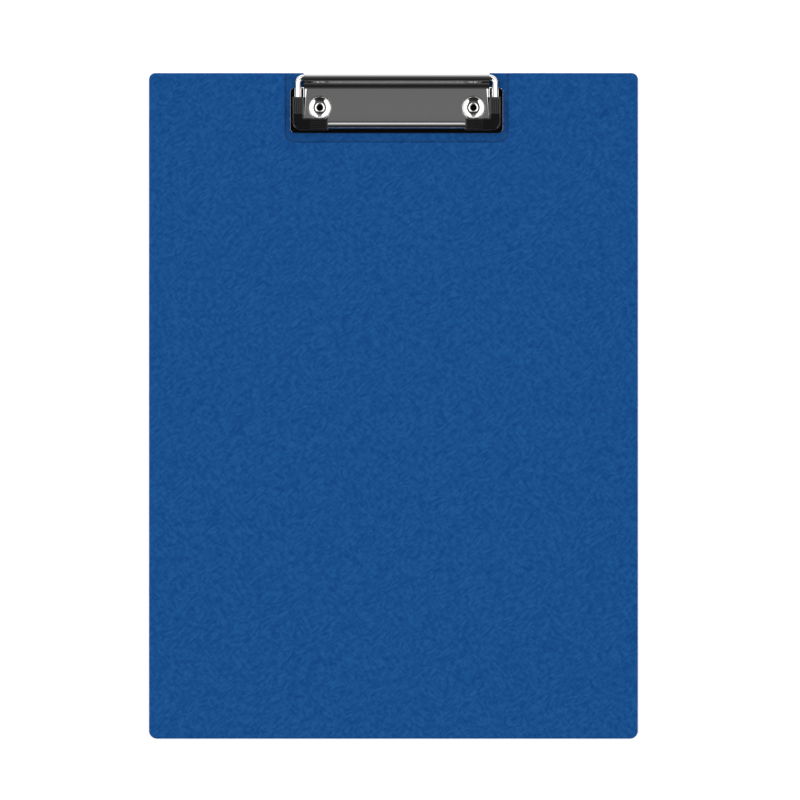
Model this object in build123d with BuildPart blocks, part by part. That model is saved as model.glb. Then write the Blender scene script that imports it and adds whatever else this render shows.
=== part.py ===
from build123d import *
import os
from math import acos, cos, degrees, radians, sin, tan

# A4 clipboard: a covered greyboard with a riveted wire-bail clip at its top edge.
# Frame: millimetres, origin at the centre of the back face, +Y towards the clip,
# +Z out of the front face.

# ---- Board ----
board_width = 235.0
board_length = 320.0
board_thickness = 2.7
top_corner_radius = 3.0
bottom_corner_radius = 3.8
front_edge_round = 0.8
back_edge_round = 0.5

cover_film = 0.3
turn_in = 10.0
lining_film = 0.25
lining_margin = 4.0
lining_corner_radius = 1.5

# ---- Recess pressed into the front for the clip ----
recess_width = 107.7
recess_bottom_y = 126.5
recess_corner_radius = 5.0
recess_depth = 0.5
recess_slope = 1.6
recess_overrun = 8.0

# ---- Clip position ----
clip_offset = 1.5
hinge_y = 157.6

# ---- Stamped clip base ----
sheet = 0.8
flange_width = 102.2
flange_bottom_y = 131.1
flange_top_y = 153.0
flange_corner_radius = 2.3
flange_edge_round = 0.15
deck_half_width = 44.6
deck_bottom_y = 136.9
deck_angle = 4.0
deck_overlap = 0.3
throat_radius = 3.8
curl_end_angle = 215.0
pad_radius = 5.8
pad_wall_lean = 0.45
pad_wall = 0.9

# ---- Wire bail ----
wire_radius = 1.5
hinge_clearance = 0.07
paper_gap = 0.15
arm_spacing = 94.8
bar_y = 134.7
hinge_bend_radius = 2.7
front_bend_radius = 3.2
leg_gap = 10.0

# ---- Corner guards ----
guard_width = 5.2
guard_top_y = 148.4
guard_reach = 33.0
guard_bar_low_y = 132.6
guard_bar_high_y = 138.0
guard_wall_over_wire = 0.65
guard_lift = 0.3
guard_outer_radius = 4.2
guard_inner_radius = 0.8
guard_edge_round = 0.6
guard_groove_clearance = 0.03
guard_slot_width = 2.6
rib_pitch = 1.0
rib_groove_width = 0.56
rib_groove_depth = 0.26
rib_count = 5
arm_ribs_y = (140.4, 147.4)
bar_ribs_x = (34.0, 41.3)

# ---- Rivets and their washers ----
rivet_spacing = 73.8
rivet_y = 143.3
shank_radius = 1.85
hole_clearance = 0.06
rivet_head_radius = 4.5
rivet_head_thickness = 0.65
rivet_head_inset = 0.05
dimple_radius = 5.1
dimple_depth = 0.75
dimple_lean = 0.4
clinch_radius = 2.4
clinch_height = 0.55
bore_radius = 1.6
bore_floor_z = 1.5
washer_radius = 5.25
washer_land_radius = 2.75
washer_sheet = 0.4
washer_dish = 0.85
washer_rim_bevel = 0.12

# ---- Heights and places worked out from the dimensions above ----
core_bottom_z = lining_film
core_shoulder_z = lining_film + cover_film
core_top_z = board_thickness - cover_film
recess_floor_z = board_thickness - recess_depth
flange_top_z = recess_floor_z + sheet
hinge_z = flange_top_z + paper_gap + wire_radius
barrel_inner_radius = wire_radius + hinge_clearance
barrel_radius = barrel_inner_radius + sheet
arm_x = arm_spacing / 2
rivet_hole_radius = shank_radius + hole_clearance
rivet_places = [(clip_offset + side * rivet_spacing / 2, rivet_y) for side in (-1, 1)]
flange_length = flange_top_y - flange_bottom_y
flange_middle_y = (flange_top_y + flange_bottom_y) / 2

os.makedirs("parts", exist_ok=True)


def clip_plane(height):
    """Horizontal plane on the clip's own centre line."""
    return Plane(origin=(clip_offset, 0, height))


def upright_plane(x, y):
    """Plane facing -Y at one place: its own axes run along +X and +Z."""
    return Plane(origin=(x, y, 0), x_dir=(1, 0, 0), z_dir=(0, -1, 0))


def rivet_spots(height):
    """The two rivet axes, at one height."""
    return Locations(*[(x, y, height) for x, y in rivet_places])


def board_outline(inset):
    """The board's rounded outline, a little way inside its edges."""
    with BuildSketch() as outline:
        Rectangle(board_width - 2 * inset, board_length - 2 * inset)
        fillet(outline.vertices().group_by(Axis.Y)[-1], top_corner_radius - inset)
        fillet(outline.vertices().group_by(Axis.Y)[0], bottom_corner_radius - inset)
    return outline.sketch


def recess_outline(inset):
    """The recess outline, which runs out past the board's top edge."""
    low = recess_bottom_y + inset
    high = board_length / 2 + recess_overrun
    with BuildSketch() as outline:
        with Locations((clip_offset, (low + high) / 2)):
            Rectangle(recess_width - 2 * inset, high - low)
        fillet(outline.vertices().group_by(Axis.Y)[0], recess_corner_radius - inset)
    return outline.sketch


def recess_cutter(floor_z):
    """Tapered block that presses the clip's recess down to one floor."""
    with BuildPart() as cutter:
        with BuildSketch(Plane.XY.offset(floor_z)):
            add(recess_outline(recess_slope))
        with BuildSketch(Plane.XY.offset(floor_z + recess_depth)):
            add(recess_outline(0))
        loft(ruled=True)
        with BuildSketch(Plane.XY.offset(floor_z + recess_depth)):
            add(recess_outline(0))
        extrude(amount=recess_depth)
    return cutter.part


def finish(builder, name):
    """Name one finished piece and write it."""
    builder.part.label = name
    export_step(builder.part, f"parts/{name}.step")


# ---- Board core: greyboard, stepped at the back for the turned-in cover ----
with BuildPart() as core_blank:
    with BuildSketch(Plane.XY.offset(core_shoulder_z)):
        add(board_outline(cover_film))
    extrude(amount=core_top_z - core_shoulder_z)
    fillet(core_blank.faces().sort_by(Axis.Z)[-1].edges(), front_edge_round - cover_film)
    fillet(core_blank.faces().sort_by(Axis.Z)[0].edges(), back_edge_round - cover_film)
    with BuildSketch(Plane.XY.offset(core_bottom_z)):
        Rectangle(board_width - 2 * turn_in, board_length - 2 * turn_in)
    extrude(amount=cover_film)
    add(recess_cutter(recess_floor_z - cover_film), mode=Mode.SUBTRACT)

with BuildPart() as board_core:
    add(core_blank.part)
    with rivet_spots(0):
        Cone(
            dimple_radius + lining_film,
            dimple_radius + lining_film - dimple_lean,
            dimple_depth + lining_film,
            align=(Align.CENTER, Align.CENTER, Align.MIN),
            mode=Mode.SUBTRACT,
        )
        Cylinder(rivet_hole_radius, 4 * board_thickness, mode=Mode.SUBTRACT)
finish(board_core, "board_core")

# ---- Front cover: grained vinyl, wrapped round the edges and turned in ----
with BuildPart() as front_cover:
    with BuildSketch(Plane.XY.offset(lining_film)):
        add(board_outline(0))
    extrude(amount=board_thickness - lining_film)
    fillet(front_cover.faces().sort_by(Axis.Z)[-1].edges(), front_edge_round)
    fillet(front_cover.faces().sort_by(Axis.Z)[0].edges(), back_edge_round)
    add(recess_cutter(recess_floor_z), mode=Mode.SUBTRACT)
    add(core_blank.part, mode=Mode.SUBTRACT)
    with rivet_spots(0):
        Cylinder(rivet_hole_radius, 4 * board_thickness, mode=Mode.SUBTRACT)
finish(front_cover, "front_cover")

# ---- Back lining: a plain sheet, drawn into a dimple under each rivet head ----
with BuildPart() as back_lining:
    with BuildSketch():
        RectangleRounded(
            board_width - 2 * lining_margin,
            board_length - 2 * lining_margin,
            lining_corner_radius,
        )
    extrude(amount=lining_film)
    with rivet_spots(0):
        Cone(
            dimple_radius + lining_film,
            dimple_radius + lining_film - dimple_lean,
            dimple_depth + lining_film,
            align=(Align.CENTER, Align.CENTER, Align.MIN),
        )
        Cone(
            dimple_radius,
            dimple_radius - dimple_lean,
            dimple_depth,
            align=(Align.CENTER, Align.CENTER, Align.MIN),
            mode=Mode.SUBTRACT,
        )
        Cylinder(rivet_hole_radius, 4 * board_thickness, mode=Mode.SUBTRACT)
finish(back_lining, "back_lining")

# ---- Clip base: one stamping with a flange, a sloping deck and a curled barrel ----
# The throat is the concave bend where the deck turns up into the barrel. Its
# centre lies throat_radius above the deck and touches the barrel from outside.
deck_slope = tan(radians(deck_angle))
hinge_over_deck_line = hinge_z - flange_top_z - (hinge_y - deck_bottom_y) * deck_slope
hinge_over_deck = hinge_over_deck_line * cos(radians(deck_angle))
throat_span = barrel_radius + throat_radius
throat_turn = degrees(acos((throat_radius - hinge_over_deck) / throat_span))
throat_lean = throat_turn + deck_angle
throat_y = hinge_y - throat_span * sin(radians(throat_lean))
throat_z = hinge_z + throat_span * cos(radians(throat_lean))
deck_end_y = throat_y + throat_radius * sin(radians(deck_angle)) + deck_overlap
throat_start = deck_angle - 90
throat_end = throat_lean - 90
barrel_start = throat_lean + 90
barrel_turn = barrel_start + 360 - curl_end_angle


def deck_block(drop, bottom_z, end_y):
    """Wedge under the deck's upper face, or under its lower face when dropped."""
    rise = (end_y - deck_bottom_y) * deck_slope
    low_z = flange_top_z - drop
    high_z = low_z + rise
    low_x = deck_half_width - drop * tan(radians(22.5))
    high_x = low_x - rise
    with BuildPart() as block:
        with BuildSketch(Plane.YZ.offset(clip_offset)):
            with BuildLine():
                Polyline(
                    (deck_bottom_y, bottom_z),
                    (deck_bottom_y, low_z),
                    (end_y, high_z),
                    (end_y, bottom_z),
                    close=True,
                )
            make_face()
        extrude(amount=deck_half_width, both=True)
        with BuildSketch(upright_plane(clip_offset, deck_bottom_y)):
            with BuildLine():
                Polyline(
                    (-low_x, bottom_z),
                    (-low_x, low_z),
                    (-high_x, high_z),
                    (high_x, high_z),
                    (low_x, low_z),
                    (low_x, bottom_z),
                    close=True,
                )
            make_face()
        extrude(amount=-2 * flange_length, mode=Mode.INTERSECT)
    return block.part


with BuildPart() as deck_hollow:
    add(deck_block(sheet, recess_floor_z - sheet, flange_top_y + sheet))
    with rivet_spots(recess_floor_z):
        Cylinder(pad_radius + pad_wall, 4 * sheet, mode=Mode.SUBTRACT)

with BuildPart() as clip_base:
    with BuildSketch(clip_plane(recess_floor_z)):
        with Locations((0, flange_middle_y)):
            RectangleRounded(flange_width, flange_length, flange_corner_radius)
    extrude(amount=sheet)
    fillet(clip_base.faces().sort_by(Axis.Z)[-1].edges(), flange_edge_round)
    add(deck_block(0, recess_floor_z, deck_end_y))
    add(deck_hollow.part, mode=Mode.SUBTRACT)
    with BuildSketch(Plane.YZ.offset(clip_offset)):
        with BuildLine():
            CenterArc((throat_y, throat_z), throat_radius, throat_start, throat_turn)
            CenterArc((hinge_y, hinge_z), barrel_radius, barrel_start, -barrel_turn)
            PolarLine(
                Vector(hinge_y, hinge_z)
                + Vector(barrel_inner_radius, 0).rotate(Axis.Z, curl_end_angle),
                sheet,
                curl_end_angle,
            )
            CenterArc((hinge_y, hinge_z), barrel_inner_radius, curl_end_angle, barrel_turn)
            CenterArc((throat_y, throat_z), throat_radius + sheet, throat_end, -throat_turn)
            PolarLine(
                Vector(throat_y, throat_z)
                + Vector(throat_radius, 0).rotate(Axis.Z, throat_start),
                sheet,
                throat_start,
            )
        make_face()
    extrude(amount=deck_half_width, both=True)
    with rivet_spots(flange_top_z):
        Cone(
            pad_radius,
            pad_radius + pad_wall_lean,
            2 * sheet,
            align=(Align.CENTER, Align.CENTER, Align.MIN),
            mode=Mode.SUBTRACT,
        )
        Cylinder(rivet_hole_radius, 4 * sheet, mode=Mode.SUBTRACT)
finish(clip_base, "clip_base")


# ---- Wire bail: one bent wire whose two legs turn inside the barrel ----
def wire(radius):
    """Round bar of one radius along the bail's centre line."""
    leg_x = leg_gap / 2
    with BuildPart() as bar:
        with BuildLine(clip_plane(hinge_z)) as route:
            FilletPolyline(
                (-leg_x, hinge_y),
                (-arm_x, hinge_y),
                (-arm_x, bar_y),
                (arm_x, bar_y),
                (arm_x, hinge_y),
                (leg_x, hinge_y),
                radius=[
                    hinge_bend_radius,
                    front_bend_radius,
                    front_bend_radius,
                    hinge_bend_radius,
                ],
            )
        with BuildSketch(Plane(route.wires()[0] ^ 0)):
            Circle(radius)
        sweep()
    return bar.part


with BuildPart() as spring_bail:
    add(wire(wire_radius))
finish(spring_bail, "spring_bail")

# ---- Corner guards: plastic elbows snapped over the bail's two front corners ----
guard_low_z = hinge_z - wire_radius + guard_lift
guard_high_z = hinge_z + wire_radius + guard_wall_over_wire
guard_inner_x = arm_x - guard_width / 2
guard_outer_x = arm_x + guard_width / 2
guard_groove = wire(wire_radius + guard_groove_clearance)
guard_bar_y = (guard_bar_low_y + guard_bar_high_y) / 2
groove_offsets = [(i - (rib_count - 2) / 2) * rib_pitch for i in range(rib_count - 1)]


def groove_profile():
    """V that parts two ribs, point down, on the sketch's own origin."""
    with BuildSketch(mode=Mode.PRIVATE) as profile:
        with BuildLine():
            Polyline(
                (-rib_groove_width, rib_groove_depth),
                (0, -rib_groove_depth),
                (rib_groove_width, rib_groove_depth),
                close=True,
            )
        make_face()
    return profile.sketch


for side, name in ((-1, "corner_guard_left"), (1, "corner_guard_right")):
    with BuildPart() as guard:
        with BuildSketch(clip_plane(guard_low_z)) as elbow:
            with BuildLine():
                Polyline(
                    (side * guard_inner_x, guard_top_y),
                    (side * guard_outer_x, guard_top_y),
                    (side * guard_outer_x, guard_bar_low_y),
                    (side * guard_reach, guard_bar_low_y),
                    (side * guard_reach, guard_bar_high_y),
                    (side * guard_inner_x, guard_bar_high_y),
                    close=True,
                )
            make_face()
            corners = elbow.vertices().sort_by_distance((side * guard_outer_x, guard_bar_low_y))
            fillet(corners[0], guard_outer_radius)
            corners = elbow.vertices().sort_by_distance((side * guard_inner_x, guard_bar_high_y))
            fillet(corners[0], guard_inner_radius)
        extrude(amount=guard_high_z - guard_low_z)
        fillet(guard.faces().sort_by(Axis.Z)[-1].edges(), guard_edge_round)
        for offset in groove_offsets:
            arm_end = Vector(clip_offset + side * arm_x + offset, arm_ribs_y[0], guard_high_z)
            with BuildSketch(Plane(arm_end, x_dir=(1, 0, 0), z_dir=(0, -1, 0))):
                add(groove_profile())
            extrude(amount=arm_ribs_y[0] - arm_ribs_y[1], mode=Mode.SUBTRACT)
            bar_end = Vector(clip_offset + side * bar_ribs_x[0], guard_bar_y + offset, guard_high_z)
            with BuildSketch(Plane(bar_end, x_dir=(0, side, 0), z_dir=(side, 0, 0))):
                add(groove_profile())
            extrude(amount=bar_ribs_x[1] - bar_ribs_x[0], mode=Mode.SUBTRACT)
        add(guard_groove, mode=Mode.SUBTRACT)
        with BuildSketch(clip_plane(guard_low_z)):
            with Locations((side * arm_x, guard_top_y)):
                Rectangle(guard_slot_width, 2 * (guard_top_y - bar_y))
            with Locations((side * guard_reach, bar_y)):
                Rectangle(2 * (arm_x - guard_reach), guard_slot_width)
        extrude(amount=wire_radius, mode=Mode.SUBTRACT)
    finish(guard, name)

# ---- Rivets and washers: semi-tubular rivets clinched inside cup washers ----
head_z = rivet_head_inset
head_top_z = head_z + rivet_head_thickness
washer_top_z = flange_top_z + washer_sheet
washer_rim_z = flange_top_z + washer_dish
clinch_top_z = washer_top_z + clinch_height
clinch_mouth_z = washer_top_z + clinch_height / 4

for (x, y), name in zip(rivet_places, ("left", "right")):
    with BuildPart() as rivet:
        with BuildSketch(upright_plane(x, y)):
            with BuildLine():
                Polyline(
                    (bore_radius, clinch_mouth_z),
                    (bore_radius, bore_floor_z),
                    (0, bore_floor_z - bore_radius / 2),
                    (0, head_z),
                    (rivet_head_radius - rivet_head_thickness / 2, head_z),
                    (rivet_head_radius, head_z + rivet_head_thickness / 2),
                    (rivet_head_radius, head_top_z),
                    (shank_radius, head_top_z),
                    (shank_radius, washer_top_z),
                    (clinch_radius, washer_top_z),
                )
                ThreePointArc(
                    (clinch_radius, washer_top_z),
                    ((clinch_radius + bore_radius) / 2, clinch_top_z),
                    (bore_radius, clinch_mouth_z),
                )
            make_face()
        revolve(axis=Axis((x, y, 0), (0, 0, 1)))
    finish(rivet, f"rivet_{name}")

    with BuildPart() as washer:
        with BuildSketch(upright_plane(x, y)):
            with BuildLine():
                Polyline(
                    (rivet_hole_radius, flange_top_z),
                    (washer_land_radius, flange_top_z),
                    (washer_radius, washer_rim_z),
                    (washer_radius - washer_rim_bevel, washer_rim_z + washer_sheet),
                    (washer_land_radius - washer_rim_bevel, washer_top_z),
                    (rivet_hole_radius, washer_top_z),
                    close=True,
                )
            make_face()
        revolve(axis=Axis((x, y, 0), (0, 0, 1)))
    finish(washer, f"rivet_washer_{name}")
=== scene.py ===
"""Looks of the covered clipboard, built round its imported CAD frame."""

import math

import bpy
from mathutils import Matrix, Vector
from mathutils.geometry import delaunay_2d_cdt


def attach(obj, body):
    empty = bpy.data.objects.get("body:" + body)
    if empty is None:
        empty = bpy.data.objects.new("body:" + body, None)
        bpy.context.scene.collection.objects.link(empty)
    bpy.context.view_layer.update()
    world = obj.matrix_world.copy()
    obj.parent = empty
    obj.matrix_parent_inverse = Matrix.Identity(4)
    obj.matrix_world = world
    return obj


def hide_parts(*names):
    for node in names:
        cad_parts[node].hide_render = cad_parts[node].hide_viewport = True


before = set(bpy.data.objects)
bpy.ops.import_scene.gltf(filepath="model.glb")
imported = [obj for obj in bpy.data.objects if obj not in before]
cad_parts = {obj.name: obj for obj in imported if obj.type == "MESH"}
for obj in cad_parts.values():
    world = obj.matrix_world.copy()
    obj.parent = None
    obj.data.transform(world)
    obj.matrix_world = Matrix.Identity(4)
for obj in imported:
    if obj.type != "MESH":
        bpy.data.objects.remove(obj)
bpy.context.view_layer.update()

# Lengths are in millimetres, in the CAD frame, until a mesh is made.
MM = 0.001

# ---- Board ----
HALF_WIDTH = 117.5
HALF_LENGTH = 160.0
THICKNESS = 2.7
TOP_CORNER = 3.0
BOTTOM_CORNER = 3.8
FRONT_ROUND = 0.8
BACK_ROUND = 0.5
LINING = 0.25

# ---- Recess in the front cover ----
CLIP_X = 1.5
RECESS_HALF = 53.85
RECESS_LOW = 126.5
RECESS_CORNER = 5.0
RECESS_DEPTH = 0.5
RECESS_SLOPE = 1.9

# ---- Clip base ----
SHEET = 0.8
FLANGE_Z = 3.0
FLANGE_HALF = 51.1
FLANGE_LOW = 131.1
FLANGE_HIGH = 153.0
FLANGE_CORNER = 2.3
FLANGE_ROUND = 0.04
FLANGE_INSETS = (0.01, 0.025, 0.045, 0.08, 0.3)
DECK_HALF = 44.6
TAB_HALF = 43.4
DECK_LOW = 136.4
DECK_ANGLE = math.radians(4)
PAD_RADIUS = 5.3
PAD_WALL = 0.4
PAD_RINGS = (0.5, 3, 5, 5.28, 5.34, 5.4, 5.46, 5.52, 5.58, 5.64, 5.72, 6.2)
THROAT = 3.8
HINGE = (157.6, 4.65)
BARREL = 2.37
CURL_END = math.radians(215)

# ---- Rivets and cup washers ----
RIVETS = {"left": -35.4, "right": 38.4}
RIVET_Y = 143.3
WASHER_SHEET = 0.4
LAND = FLANGE_Z + WASHER_SHEET
CUP_START = 3.05
CUP_RIM = 5.1
CUP_EDGE = 0.18
WASHER_HOLE = 1.9
HEAD_LOW = 0.05
HEAD_TOP = 0.7
HEAD_RADIUS = 4.5
SHANK = 1.85
ROLL_CENTRE = 2.0
ROLL_RADIUS = 0.4
BORE = 1.58
BORE_FLOOR = 1.5

# ---- Wire and guards ----
WIRE = 1.5
ARM_X = 47.4
BAR_Y = 134.7
HINGE_BEND = 2.7
FRONT_BEND = 3.2
LEG_END = 5.0
ARM_RIBS_LOW = 140.4
BAR_RIBS_END = 41.3


# ---- Materials ----
RIPPLE_TURN = math.radians(38)
RECESS_MARGIN = 0.3
RECESS_ABOVE = 2.0
RIB_BLEND = 0.2
CORNER_ROUGH = (0.14, 0.22)
BAR_RIBS_MATT = 0.12
ARM_RIBS_MATT = 0.26


class NodeGraph:
    """Short ways to add nodes to one node tree."""

    def __init__(self, tree):
        self.nodes = tree.nodes
        self.links = tree.links

    def node(self, kind, inputs=None, **settings):
        """A node, with its inputs set to numbers or linked to other sockets."""
        made = self.nodes.new(kind)
        for key, value in settings.items():
            setattr(made, key, value)
        for key, value in (inputs or {}).items():
            if isinstance(value, bpy.types.NodeSocket):
                self.links.new(value, made.inputs[key])
            else:
                made.inputs[key].default_value = value
        return made

    def math(self, operation, *values):
        inputs = dict(enumerate(values))
        return self.node("ShaderNodeMath", inputs, operation=operation).outputs[0]

    def vector_math(self, operation, first, second):
        inputs = {0: first, 1: second}
        return self.node("ShaderNodeVectorMath", inputs, operation=operation).outputs[0]

    def mix(self, factor, first, second):
        """Number from first to second."""
        inputs = {0: factor, 2: first, 3: second}
        return self.node("ShaderNodeMix", inputs, data_type="FLOAT").outputs[0]

    def span(self, value, low, high, new_low, new_high, smooth=False):
        """Maps low..high to new_low..new_high, and holds the ends."""
        inputs = {0: value, 1: low, 2: high, 3: new_low, 4: new_high}
        kind = "SMOOTHSTEP" if smooth else "LINEAR"
        return self.node("ShaderNodeMapRange", inputs, interpolation_type=kind).outputs[0]

    def blend(self, factor, first, second, **settings):
        """Colour from first to second."""
        made = self.node("ShaderNodeMix", {0: factor}, data_type="RGBA", **settings)
        for socket, value in ((made.inputs[6], first), (made.inputs[7], second)):
            if isinstance(value, bpy.types.NodeSocket):
                self.links.new(value, socket)
            else:
                socket.default_value = (*value, 1)
        return made.outputs[2]

    def ramp(self, value, stops):
        """Grey from (place, brightness) stops."""
        made = self.node("ShaderNodeValToRGB", {0: value})
        elements = made.color_ramp.elements
        for index, (spot, grey) in enumerate(stops):
            stop = elements[index] if index < 2 else elements.new(spot)
            stop.position = spot
            stop.color = (grey, grey, grey, 1)
        return made.outputs[0]


class Recipe(NodeGraph):
    """One Principled material and the nodes that drive it, in object coordinates."""

    def __init__(self, name, colour, roughness, metallic=0.0, specular=0.5):
        self.material = bpy.data.materials.new(name)
        self.material.use_nodes = True
        super().__init__(self.material.node_tree)
        self.shader = self.nodes["Principled BSDF"]
        self.shader.inputs["Base Color"].default_value = (*colour, 1)
        self.shader.inputs["Roughness"].default_value = roughness
        self.shader.inputs["Metallic"].default_value = metallic
        self.shader.inputs["Specular IOR Level"].default_value = specular
        self.place = self.node("ShaderNodeTexCoord").outputs["Object"]

    def stretched(self, lengths, turn):
        """Object coordinates along axes turned about Z, for grain that is long one way."""
        inputs = {"Vector": self.place, "Rotation": (0, 0, turn), "Scale": lengths}
        return self.node("ShaderNodeMapping", inputs, vector_type="TEXTURE").outputs[0]

    def noise(self, per_metre, detail=2.0, vector=None):
        inputs = {"Vector": vector or self.place, "Scale": per_metre, "Detail": detail}
        return self.node("ShaderNodeTexNoise", inputs).outputs["Fac"]

    def bump(self, height, distance, strength=1.0, under=None):
        """Normal of a height from 0 to 1 that stands distance millimetres proud."""
        inputs = {"Height": height, "Distance": distance * MM, "Strength": strength}
        if under is not None:
            inputs["Normal"] = under
        return self.node("ShaderNodeBump", inputs).outputs[0]

    def drive(self, name, value):
        self.links.new(value, self.shader.inputs[name])


def recess_tone_and_painted_shade(recipe):
    """Where the recess is pressed (0 or 1), and a darker colour over it by its depth: partly the pressed
    vinyl's own darker tone, partly painted shade, with the painted shade darkest along the recess wall.
    """
    axes = recipe.node("ShaderNodeSeparateXYZ", {0: recipe.place}).outputs
    across = recipe.math("ABSOLUTE", recipe.math("SUBTRACT", axes[0], CLIP_X * MM))
    beside = recipe.math("LESS_THAN", across, (RECESS_HALF + RECESS_MARGIN) * MM)
    beyond = recipe.math("GREATER_THAN", axes[1], (RECESS_LOW - RECESS_MARGIN) * MM)
    above = recipe.math("GREATER_THAN", axes[2], RECESS_ABOVE * MM)
    inside = recipe.math("MULTIPLY", recipe.math("MULTIPLY", beside, beyond), above)
    depth = recipe.span(axes[2], (THICKNESS - RECESS_DEPTH) * MM, THICKNESS * MM, 0.0, 1.0)
    # Painted shade: the recess floor is darkened a little and its wall most, as if in shadow. Part of the
    # floor's darkening is the pressed vinyl's own tone.
    tone_and_painted_shade = recipe.ramp(depth, ((0.0, 0.86), (0.2, 0.78), (0.7, 0.57), (0.96, 0.56), (1.0, 1.0)))
    pressed = recipe.math("MULTIPLY", inside, recipe.math("LESS_THAN", depth, 0.999))
    return pressed, recipe.blend(pressed, (1.0, 1.0, 1.0), tone_and_painted_shade)


def vinyl(name, valley_painted_shade, crest, grain_depth, recessed):
    """Leather-grained vinyl: patches of ripples slanting one way or across it, over small cells, with
    painted shade making the grain's valleys darker than its crests.
    """
    recipe = Recipe(name, crest, 0.5, specular=0.08)
    warp = recipe.node("ShaderNodeTexNoise", {"Vector": recipe.place, "Scale": 120, "Detail": 1.0})
    shift = recipe.vector_math("MULTIPLY", warp.outputs["Color"], (0.004,) * 3)
    slanted = recipe.vector_math("ADD", recipe.stretched((2.3, 1.0, 1.0), RIPPLE_TURN), shift)
    ripples = recipe.span(recipe.noise(780, 1.0, slanted), 0.34, 0.66, 0.0, 1.0)
    across = recipe.stretched((1.0, 1.9, 1.0), RIPPLE_TURN)
    crossed = recipe.span(recipe.noise(640, 1.0, across), 0.34, 0.66, 0.0, 1.0)
    patches = recipe.span(recipe.noise(60, 2.0), 0.4, 0.6, 0.25, 0.85)
    mixed = recipe.mix(patches, crossed, ripples)
    cells = recipe.node("ShaderNodeTexVoronoi", {"Vector": slanted, "Scale": 520},
                        feature="DISTANCE_TO_EDGE")
    folds = recipe.span(cells.outputs["Distance"], 0.0, 0.3, 0.0, 1.0, smooth=True)
    height = recipe.math("ADD", recipe.math("MULTIPLY", mixed, 0.75), recipe.math("MULTIPLY", folds, 0.25))
    # Painted shade: the colour darkens from the crests down into the grain's valleys and the cells' folds.
    colour = recipe.blend(height, valley_painted_shade, crest)
    rough = recipe.span(height, 0.0, 1.0, 0.56, 0.44)
    strength = 1.0
    if recessed:
        pressed, tone_and_painted_shade = recess_tone_and_painted_shade(recipe)
        # The recess's painted shade and pressed tone are multiplied into the vinyl's colour.
        colour = recipe.blend(1.0, colour, tone_and_painted_shade, blend_type="MULTIPLY")
        strength = recipe.span(pressed, 0.0, 1.0, 1.0, 0.45)
        rough = recipe.math("SUBTRACT", rough, recipe.math("MULTIPLY", pressed, 0.06))
    recipe.drive("Base Color", colour)
    recipe.drive("Roughness", rough)
    recipe.drive("Normal", recipe.bump(height, grain_depth, strength))
    return recipe.material


def plated(name, colour, low, high, wave):
    """Bright plating over sheet or wire: faint waves, and hairlines in its roughness."""
    recipe = Recipe(name, colour, low, metallic=1.0)
    haze = recipe.noise(160, 3.0)
    hairs = recipe.noise(9000, 2.0, recipe.stretched((14.0, 1.0, 1.0), 0.35))
    recipe.drive("Roughness", recipe.span(recipe.math("MULTIPLY", haze, hairs), 0.12, 0.42, low, high))
    recipe.drive("Normal", recipe.bump(recipe.noise(90, 1.0), wave))
    return recipe.material


def moulded(name, colour):
    """Black moulded plastic: polished at the corner, matt on the ribs, palest on the arms' ribs."""
    recipe = Recipe(name, colour, 0.2, specular=0.3)
    grain = recipe.noise(5200, 2.0)
    cloud = recipe.noise(240, 3.0)
    recipe.drive("Base Color", recipe.blend(cloud, colour, [c * 1.6 for c in colour]))
    axes = recipe.node("ShaderNodeSeparateXYZ", {0: recipe.place}).outputs
    across = recipe.math("ABSOLUTE", recipe.math("SUBTRACT", axes[0], CLIP_X * MM))
    arm_matt = recipe.span(axes[1], (ARM_RIBS_LOW - RIB_BLEND) * MM, ARM_RIBS_LOW * MM,
                           0.0, ARM_RIBS_MATT)
    bar_matt = recipe.span(across, BAR_RIBS_END * MM, (BAR_RIBS_END + RIB_BLEND) * MM,
                           BAR_RIBS_MATT, 0.0)
    matt = recipe.math("MAXIMUM", arm_matt, bar_matt)
    polish = recipe.span(grain, 0.3, 0.7, *CORNER_ROUGH)
    recipe.drive("Roughness", recipe.math("ADD", polish, matt))
    recipe.drive("Specular IOR Level", recipe.span(matt, BAR_RIBS_MATT, ARM_RIBS_MATT, 0.3, 0.6))
    recipe.drive("Normal", recipe.bump(grain, 0.003, 0.6))
    return recipe.material


def greyboard(name):
    """Pressed grey pulp with short fibres."""
    recipe = Recipe(name, (0.22, 0.2, 0.17), 0.9, specular=0.1)
    fibres = recipe.noise(2200, 4.0, recipe.stretched((4.0, 1.0, 1.0), 0.9))
    pulp = recipe.math("MULTIPLY", fibres, recipe.noise(700, 2.0))
    recipe.drive("Base Color", recipe.blend(pulp, (0.13, 0.12, 0.1), (0.36, 0.33, 0.29)))
    recipe.drive("Normal", recipe.bump(fibres, 0.03))
    return recipe.material


cover_vinyl = vinyl("cover_vinyl", valley_painted_shade=(0.0001, 0.0505, 0.2115), crest=(0.0083, 0.0925, 0.295),
                    grain_depth=0.05, recessed=True)
lining_vinyl = vinyl("lining_vinyl", valley_painted_shade=(0.0003, 0.05, 0.2), crest=(0.007, 0.079, 0.265),
                     grain_depth=0.04, recessed=False)
chrome = plated("clip_chrome", (0.86, 0.86, 0.87), 0.03, 0.055, 0.002)
wire_chrome = plated("wire_chrome", (0.88, 0.88, 0.88), 0.05, 0.09, 0.002)
nickel = plated("rivet_nickel", (0.88, 0.87, 0.85), 0.09, 0.15, 0.003)
guard_plastic = moulded("guard_plastic", (0.0035, 0.0035, 0.0038))
board_pulp = greyboard("greyboard")


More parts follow.
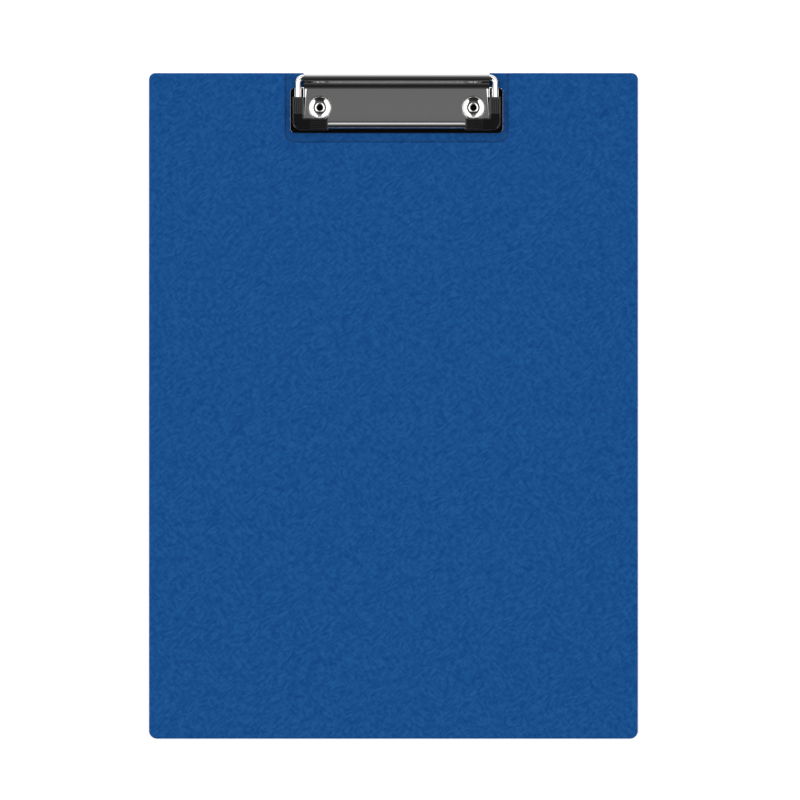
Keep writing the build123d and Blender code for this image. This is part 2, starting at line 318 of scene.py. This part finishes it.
# ---- Meshes ----
def piece(name, points, faces, material, body, node, sharp=35.0, normals=None):
    """A finished mesh piece that rides on a body and stands for one CAD node."""
    mesh = bpy.data.meshes.new(name)
    mesh.from_pydata([[c * MM for c in point] for point in points], [], faces)
    mesh.shade_smooth()
    if normals:
        mesh.normals_split_custom_set([normal for face in normals for normal in face])
    else:
        mesh.set_sharp_from_angle(angle=math.radians(sharp))
    mesh.materials.append(material)
    made = bpy.data.objects.new(name, mesh)
    bpy.context.scene.collection.objects.link(made)
    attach(made, body)
    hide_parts(node)
    return made


def joined(rings, looped=True):
    """The points of equal rings and the faces between each ring and the next."""
    count = len(rings[0])
    points = [point for ring in rings for point in ring]
    faces = []
    for row in range(len(rings) - 1):
        for i in range(count if looped else count - 1):
            j = (i + 1) % count
            a, b = row * count, (row + 1) * count
            faces.append((a + i, a + j, b + j, b + i))
    return points, faces


def lathe_rings(profile, x, y, segments=96):
    """A profile of (radius, height) turned about a vertical axis."""
    turns = [math.tau * i / segments for i in range(segments)]
    return [[(x + radius * math.cos(a), y + radius * math.sin(a), height) for a in turns]
            for radius, height in profile]


def closed_ends(rings):
    """Equal rings joined into one skin, with a face over the first and the last."""
    points, faces = joined(rings)
    count = len(rings[0])
    faces.append(tuple(reversed(range(count))))
    faces.append(tuple(range(len(points) - count, len(points))))
    return points, faces


def arc(centre, radius, start, end, step=6.0):
    """Points along an arc, both ends included. Angles are in radians."""
    count = max(2, math.ceil(abs(math.degrees(end - start)) / step))
    turns = [start + (end - start) * i / count for i in range(count + 1)]
    return [(centre[0] + radius * math.cos(a), centre[1] + radius * math.sin(a)) for a in turns]


def steps(start, *runs):
    """Values along an axis: each run is (end, step)."""
    values = [start]
    for end, step in runs:
        count = max(1, round(abs(end - values[-1]) / step))
        first = values[-1]
        values += [first + (end - first) * (i + 1) / count for i in range(count)]
    return values


def smooth(value):
    value = min(1.0, max(0.0, value))
    return value * value * (3 - 2 * value)


# ---- Front cover: one skin from the recess over the edges to the turned-in strip ----
def recess_drop(x, y):
    """How far the recess has pressed the face down here."""
    across = abs(x - CLIP_X)
    from_side = across - (RECESS_HALF - RECESS_CORNER)
    from_low = RECESS_LOW + RECESS_CORNER - y
    if from_side > 0 and from_low > 0:
        inside = RECESS_CORNER - math.hypot(from_side, from_low)
    else:
        inside = min(RECESS_HALF - across, y - RECESS_LOW)
    share = min(1.0, max(0.0, inside / RECESS_SLOPE))
    return RECESS_DEPTH * (1 - (1 - share) ** 2)


def cover_skin():
    flat_x, flat_y = HALF_WIDTH - FRONT_ROUND, HALF_LENGTH - FRONT_ROUND
    low_side, high_side = CLIP_X - RECESS_HALF, CLIP_X + RECESS_HALF
    xs = steps(-flat_x, (3 - flat_x, 0.5), (low_side - 0.4, 6), (low_side + 5.4, 0.2),
               (high_side - 5.4, 6), (high_side + 0.4, 0.2), (flat_x - 3, 6), (flat_x, 0.5))
    ys = steps(-flat_y, (3 - flat_y, 0.5), (RECESS_LOW - 0.4, 6), (RECESS_LOW + 5.4, 0.2),
               (flat_y - 3, 2.5), (flat_y, 0.5))

    def seat(x, y):
        """A grid point moved onto the rounded outline, and the outline's direction outward."""
        radius = (TOP_CORNER if y > 0 else BOTTOM_CORNER) - FRONT_ROUND
        u = (abs(x) - flat_x + radius) / radius
        v = (abs(y) - flat_y + radius) / radius
        if u <= 0 or v <= 0:
            outward = (0, math.copysign(1, y)) if v > u else (math.copysign(1, x), 0)
            return x, y, outward
        bent_u = u * math.sqrt(1 - v * v / 2)
        bent_v = v * math.sqrt(1 - u * u / 2)
        size = math.hypot(bent_u, bent_v)
        x = math.copysign(flat_x - radius + bent_u * radius, x)
        y = math.copysign(flat_y - radius + bent_v * radius, y)
        return x, y, (math.copysign(bent_u / size, x), math.copysign(bent_v / size, y))

    points, faces = [], []
    columns = len(xs)
    for y in ys:
        for x in xs:
            px, py, _ = seat(x, y)
            points.append((px, py, THICKNESS - recess_drop(px, py)))
    for j in range(len(ys) - 1):
        for i in range(columns - 1):
            a = j * columns + i
            faces.append((a, a + 1, a + columns + 1, a + columns))

    around = [(i, 0) for i in range(columns)]
    around += [(columns - 1, j) for j in range(1, len(ys))]
    around += [(i, len(ys) - 1) for i in reversed(range(columns - 1))]
    around += [(0, j) for j in reversed(range(1, len(ys) - 1))]
    before = [j * columns + i for i, j in around]
    seats = [seat(xs[i], ys[j]) for i, j in around]

    section = [(FRONT_ROUND * math.sin(a), THICKNESS - FRONT_ROUND + FRONT_ROUND * math.cos(a), 1)
               for a in [math.radians(15 * k) for k in range(1, 7)]]
    back_z = LINING + BACK_ROUND
    section += [(FRONT_ROUND - BACK_ROUND + BACK_ROUND * math.cos(a), back_z - BACK_ROUND * math.sin(a), 0)
                for a in [math.radians(18 * k) for k in range(6)]]
    for out, z, follows in section:
        ring = []
        for px, py, (nx, ny) in seats:
            ring.append(len(points))
            points.append((px + out * nx, py + out * ny, z - follows * recess_drop(px, py)))
        faces += [(before[k], ring[k], ring[(k + 1) % len(ring)], before[(k + 1) % len(ring)])
                  for k in range(len(ring))]
        before = ring
    ring = []
    for px, py, _ in seats:
        ring.append(len(points))
        inner_x, inner_y = HALF_WIDTH - 6, HALF_LENGTH - 6
        points.append((min(inner_x, max(-inner_x, px)), min(inner_y, max(-inner_y, py)), LINING))
    faces += [(before[k], ring[k], ring[(k + 1) % len(ring)], before[(k + 1) % len(ring)])
              for k in range(len(ring))]
    return points, faces


points, faces = cover_skin()
piece("front_cover_skin", points, faces, cover_vinyl, "board", "front_cover")


# ---- Clip base: pressed plate, then the throat and the curled barrel ----
def soft_more(value, radius):
    """The larger of value and 0, rounded where they meet."""
    return (value + math.hypot(value, radius)) / 2


def plate_height(x, y, rounded=True):
    """The plate's upper face: flat flange, sloping deck with bevelled sides, rivet pads."""
    u = x - CLIP_X
    rise = soft_more((y - DECK_LOW) * math.tan(DECK_ANGLE), 0.03)
    side = soft_more(DECK_HALF - abs(u), 0.06)
    height = (rise + side - math.hypot(rise - side, 0.12)) / 2
    height = max(0.0, height)
    for centre in RIVETS.values():
        height *= smooth((math.hypot(x - centre, y - RIVET_Y) - PAD_RADIUS) / PAD_WALL)
    if not rounded:
        return FLANGE_Z + height
    middle = (FLANGE_LOW + FLANGE_HIGH) / 2
    over_x = abs(u) - (FLANGE_HALF - FLANGE_CORNER)
    over_y = abs(y - middle) - (FLANGE_HIGH - middle - FLANGE_CORNER)
    if over_x > 0 and over_y > 0:
        inside = FLANGE_CORNER - math.hypot(over_x, over_y)
    else:
        inside = FLANGE_CORNER - max(over_x, over_y)
    if y > middle and over_y > over_x:
        inside += 2 * (1 - smooth((abs(u) - 43.6) / 1.0))
    lack = max(0.0, FLANGE_ROUND - max(0.0, inside))
    drop = FLANGE_ROUND - math.sqrt(max(0.0, FLANGE_ROUND ** 2 - lack ** 2))
    return FLANGE_Z + height - drop


hinge_over = (HINGE[1] - FLANGE_Z - (HINGE[0] - DECK_LOW) * math.tan(DECK_ANGLE)) * math.cos(DECK_ANGLE)
throat_turn = math.acos((THROAT - hinge_over) / (BARREL + THROAT))
throat_lean = throat_turn + DECK_ANGLE
throat_at = (HINGE[0] - (BARREL + THROAT) * math.sin(throat_lean),
             HINGE[1] + (BARREL + THROAT) * math.cos(throat_lean))
deck_end = throat_at[0] + THROAT * math.sin(DECK_ANGLE)


def flange_ring(inset):
    """The flange's rounded outline without the middle of its top edge, anticlockwise from its left."""
    half, low, high = FLANGE_HALF - inset, FLANGE_LOW + inset, FLANGE_HIGH - inset
    radius = FLANGE_CORNER - inset
    corners = ((radius - half, high - radius), (radius - half, low + radius),
               (half - radius, low + radius), (half - radius, high - radius))
    ring = [(CLIP_X - TAB_HALF, high)]
    for quarter, (cx, cy) in enumerate(corners, 1):
        start = math.radians(90 * quarter)
        ring += arc((CLIP_X + cx, cy), radius, start, start + math.pi / 2, 9)
    return ring + [(CLIP_X + TAB_HALF, high)]


def clip_plate():
    coords, edges = [], []

    def add_line(line, looped=False):
        first = len(coords)
        coords.extend(line)
        edges.extend((first + i, first + i + 1) for i in range(len(line) - 1))
        if looped:
            edges.append((len(coords) - 1, first))

    tab_middle = TAB_HALF - 0.6
    tab_edge = steps(TAB_HALF, (tab_middle, 0.1), (-tab_middle, 2), (-TAB_HALF, 0.1))
    add_line(flange_ring(0) + [(CLIP_X + u, deck_end) for u in tab_edge], True)
    for inset in FLANGE_INSETS:
        add_line(flange_ring(inset))
    for offset in (-0.9, -0.45, -0.2, 0, 0.2, 0.45, 0.9):
        add_line([(CLIP_X + u, DECK_LOW + offset) for u in steps(-44, (44, 2))])
    for side in (-1, 1):
        for offset in (-0.3, -0.15, -0.05, 0.05, 0.15, 0.3):
            add_line([(CLIP_X + side * (DECK_HALF + offset), y)
                      for y in steps(DECK_LOW, (FLANGE_HIGH - 0.2, 0.8))])
            add_line([(CLIP_X + side * (DECK_HALF + offset - (y - DECK_LOW) * math.tan(DECK_ANGLE)), y)
                      for y in steps(DECK_LOW + 1.5, (deck_end - 0.05, 0.5))])
    turns = [math.tau * i / 96 for i in range(96)]
    for centre in RIVETS.values():
        for radius in PAD_RINGS:
            add_line([(centre + radius * math.cos(a), RIVET_Y + radius * math.sin(a)) for a in turns], True)
    for y in steps(DECK_LOW + 2, (deck_end - 0.4, 2)):
        coords.extend((CLIP_X + u, y) for u in steps(-42, (42, 4)))

    flat, _, triangles, *_ = delaunay_2d_cdt([Vector(p) for p in coords], edges, [], 1, 1e-5)
    flat = [(p.x, p.y) for p in flat]
    count = len(flat)
    top = [(x, y, plate_height(x, y)) for x, y in flat]
    under = [(x, y, plate_height(x, y, False) - SHEET) for x, y in flat]

    def slope_normal(x, y):
        e = 0.012
        dx = (plate_height(x + e, y) - plate_height(x - e, y)) / (2 * e)
        dy = (plate_height(x, y + e) - plate_height(x, y - e)) / (2 * e)
        return Vector((-dx, -dy, 1)).normalized()

    above = [slope_normal(x, y) for x, y in flat]
    faces, normals, uses = [], [], {}
    for tri in triangles:
        a, b, c = (flat[k] for k in tri)
        if (b[0] - a[0]) * (c[1] - a[1]) < (b[1] - a[1]) * (c[0] - a[0]):
            tri = tuple(reversed(tri))
        faces.append(tuple(tri))
        normals.append([above[k] for k in tri])
        faces.append(tuple(k + count for k in reversed(tri)))
        normals.append([-above[k] for k in reversed(tri)])
        for k in range(3):
            edge = (tri[k], tri[(k + 1) % 3])
            uses[frozenset(edge)] = None if frozenset(edge) in uses else edge
    for edge in uses.values():
        if edge:
            a, b = edge
            run = Vector((flat[b][0] - flat[a][0], flat[b][1] - flat[a][1]))
            out = Vector((run.y, -run.x, 0)).normalized()
            faces.append((a, a + count, b + count, b))
            normals.append([out] * 4)
    return top + under, faces, normals


def clip_barrel():
    """Throat and barrel: one strip profile run across the clip, smooth-shaded along its arcs."""
    start = DECK_ANGLE - math.pi / 2
    end = throat_lean - math.pi / 2
    outside = arc(throat_at, THROAT, start - 0.08, end, 3)
    outside += arc(HINGE, BARREL, throat_lean + math.pi / 2, CURL_END - math.tau, 5)[1:]
    rim = [(HINGE[0] + r * math.cos(CURL_END), HINGE[1] + r * math.sin(CURL_END))
           for r in (BARREL - 0.12, BARREL - SHEET + 0.12)]
    inside = arc(HINGE, BARREL - SHEET, CURL_END - math.tau + 0.05, throat_lean + math.pi / 2, 5)
    inside += arc(throat_at, THROAT + SHEET, end, start - 0.05, 3)[1:]
    profile = outside + rim + inside
    inner = DECK_HALF - 0.12
    rings = [[(CLIP_X + u, y, z) for y, z in profile] for u in (-DECK_HALF, -inner, inner, DECK_HALF)]
    points, faces = closed_ends(rings)
    return points, [tuple(reversed(face)) for face in faces]


points, faces, normals = clip_plate()
piece("clip_plate", points, faces, chrome, "board", "clip_base", normals=normals)
points, faces = clip_barrel()
piece("clip_barrel", points, faces, chrome, "board", "clip_base")


# ---- Rivets and cup washers ----
def cup_height(radius):
    """The washer's upper face: a flat land, then a bowl that steepens outward."""
    out = max(0.0, radius - CUP_START)
    return LAND + 0.06 * out + 0.138 * out ** 2


for side, x in RIVETS.items():
    under = [(r, max(FLANGE_Z, cup_height(r) - WASHER_SHEET))
             for r in (WASHER_HOLE, CUP_START, 3.6, 4.3, 5.0)]
    rim = arc((CUP_RIM, cup_height(CUP_RIM) - CUP_EDGE), CUP_EDGE,
              math.radians(-60), math.radians(125), 20)
    bowl = [(CUP_START + 0.2 * k, cup_height(CUP_START + 0.2 * k)) for k in range(10, -1, -1)]
    washer = under + rim + bowl + [(WASHER_HOLE, LAND)]
    points, faces = joined(lathe_rings(washer, x, RIVET_Y))
    piece(f"cup_washer_{side}", points, faces, nickel, "board", f"rivet_washer_{side}")
    stem = [(0.02, HEAD_LOW), (4.1, HEAD_LOW), (4.38, 0.16), (HEAD_RADIUS, 0.38),
            (HEAD_RADIUS, HEAD_TOP), (SHANK, HEAD_TOP), (SHANK, LAND - 0.02), (2.3, LAND - 0.01)]
    roll = [(ROLL_CENTRE + ROLL_RADIUS * math.cos(a), LAND + 0.15 + ROLL_RADIUS * math.sin(a))
            for a in (math.radians(10 * k) for k in range(-2, 20))]
    bore = [(BORE, LAND - 0.3), (BORE, BORE_FLOOR), (1.2, 1.2), (0.02, 0.8)]
    points, faces = closed_ends(lathe_rings(stem + roll + bore, x, RIVET_Y))
    piece(f"tube_rivet_{side}", points, faces, nickel, "board", f"rivet_{side}")


# ---- Wire bail ----
def bail_line():
    """The bail's centre line: (x, y) points with the bends rounded."""
    corners = [(-LEG_END, HINGE[0], 0), (-ARM_X, HINGE[0], HINGE_BEND), (-ARM_X, BAR_Y, FRONT_BEND),
               (ARM_X, BAR_Y, FRONT_BEND), (ARM_X, HINGE[0], HINGE_BEND), (LEG_END, HINGE[0], 0)]
    line = [Vector(corners[0][:2])]
    for before, here, after in zip(corners, corners[1:], corners[2:]):
        at = Vector(here[:2])
        back = (Vector(before[:2]) - at).normalized()
        ahead = (Vector(after[:2]) - at).normalized()
        half = back.angle(ahead) / 2
        centre = at + (back + ahead).normalized() * (here[2] / math.sin(half))
        reach = here[2] / math.tan(half)
        first, last = at + back * reach - centre, at + ahead * reach - centre
        turn = math.atan2(first.x * last.y - first.y * last.x, first.dot(last))
        for i in range(17):
            c, s = math.cos(turn * i / 16), math.sin(turn * i / 16)
            line.append(centre + Vector((first.x * c - first.y * s, first.x * s + first.y * c)))
    line.append(Vector(corners[-1][:2]))
    return line


def tube(line, radius, height, segments=40):
    """A round tube along a line that lies level at one height."""
    rings = []
    for i, point in enumerate(line):
        along = (line[min(i + 1, len(line) - 1)] - line[max(i - 1, 0)]).normalized()
        ring = []
        for k in range(segments):
            a = math.tau * k / segments
            out = radius * math.cos(a)
            x = CLIP_X + point.x - along.y * out
            y = point.y + along.x * out
            ring.append((x, y, height + radius * math.sin(a)))
        rings.append(ring)
    return closed_ends(rings)


points, faces = tube(bail_line(), WIRE, HINGE[1])
piece("bail_wire", points, faces, wire_chrome, "bail", "spring_bail")

# ---- CAD nodes that stay: their own shape with a material, and softened edges on the guards ----
GUARD_EDGE = 0.09

for name, material, edge in (("board_core", board_pulp, 0), ("back_lining", lining_vinyl, 0),
                             ("corner_guard_left", guard_plastic, GUARD_EDGE),
                             ("corner_guard_right", guard_plastic, GUARD_EDGE)):
    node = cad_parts[name]
    node.data.materials.clear()
    node.data.materials.append(material)
    if edge:
        weld = node.modifiers.new("weld", "WELD")
        weld.merge_threshold = 0.002 * MM
        soften = node.modifiers.new("soften", "BEVEL")
        soften.width = edge * MM
        soften.segments = 2
        soften.limit_method = "ANGLE"
        soften.angle_limit = math.radians(30)
        soften.harden_normals = True

# ---- Floor, light and camera ----
FLOOR_HALF = 20
FLOOR_Z = -0.0003
floor_corners = [(x * FLOOR_HALF, y * FLOOR_HALF, FLOOR_Z) for x, y in ((-1, -1), (1, -1), (1, 1), (-1, 1))]
floor_mesh = bpy.data.meshes.new("floor")
floor_mesh.from_pydata(floor_corners, [], [(0, 1, 2, 3)])
floor = bpy.data.objects.new("floor", floor_mesh)
bpy.context.scene.collection.objects.link(floor)
pale = Recipe("floor_white", (0.9, 0.9, 0.9), 0.9, specular=0.0)
pale.shader.inputs["Emission Color"].default_value = (1, 1, 1, 1)
pale.shader.inputs["Emission Strength"].default_value = 0.45
floor_mesh.materials.append(pale.material)

world = bpy.data.worlds.new("studio")
bpy.context.scene.world = world
world.use_nodes = True
sky = NodeGraph(world.node_tree)
way = sky.node("ShaderNodeSeparateXYZ", {0: sky.node("ShaderNodeTexCoord").outputs["Generated"]}).outputs
tip = sky.math("ARCTAN2", way[1], way[2])
# The narrow strip overhead, mostly dark, from the near side to the far side:
# (degrees from the zenith, brightness).
STRIP = ((-100, 0.4), (-85, 0.08), (-72, 0.09), (-60, 0.016), (-32, 0.02), (-10, 0.012),
         (-8.2, 0.2), (-5.8, 0.15), (-3.6, 0.12), (-2.2, 0.004), (3.2, 0.002),
         (6, 0.035), (13, 0.065), (37, 0.3), (62, 0.77), (88, 1.1))
around = sky.math("ADD", sky.math("DIVIDE", tip, math.tau), 0.5)
strip = sky.ramp(around, [(angle / 360 + 0.5, grey) for angle, grey in STRIP])
# Soft boxes on both sides of it, a little brighter at the left and at the far side. They fade
# towards the floor, so that the plating keeps its shape when it is seen from low down.
side_start = sky.span(tip, math.radians(-60), 0.0, 0.5, 0.12)
side_end = sky.math("ADD", side_start, 0.08)
beside = sky.span(sky.math("ABSOLUTE", way[0]), side_start, side_end, 0.0, 1.0, smooth=True)
lean = sky.math("ADD", sky.math("MULTIPLY", way[1], 0.35), sky.math("MULTIPLY", way[0], -0.15))
low = sky.span(way[2], 0.45, 0.8, 0.14, 1.0, smooth=True)
lamp = sky.math("MULTIPLY", sky.math("ADD", 2.3, lean), low)
shine = sky.mix(beside, strip, lamp)
background = world.node_tree.nodes["Background"]
background.inputs["Color"].default_value = (1, 1, 1, 1)
sky.links.new(shine, background.inputs["Strength"])

VIEW_CENTRE = (0.00314, 0.00282)
VIEW_WIDTH = 0.3845
DISTANCE = 4.0
SENSOR_WIDTH = 36
camera_data = bpy.data.cameras.new("camera")
camera_data.sensor_width = SENSOR_WIDTH
camera_data.lens = SENSOR_WIDTH * DISTANCE / VIEW_WIDTH
camera_data.clip_end = 100
camera = bpy.data.objects.new("camera", camera_data)
camera.location = (*VIEW_CENTRE, THICKNESS * MM + DISTANCE)
bpy.context.scene.collection.objects.link(camera)
bpy.context.scene.camera = camera
bpy.context.scene.view_settings.view_transform = "Standard"

bpy.context.view_layer.update()
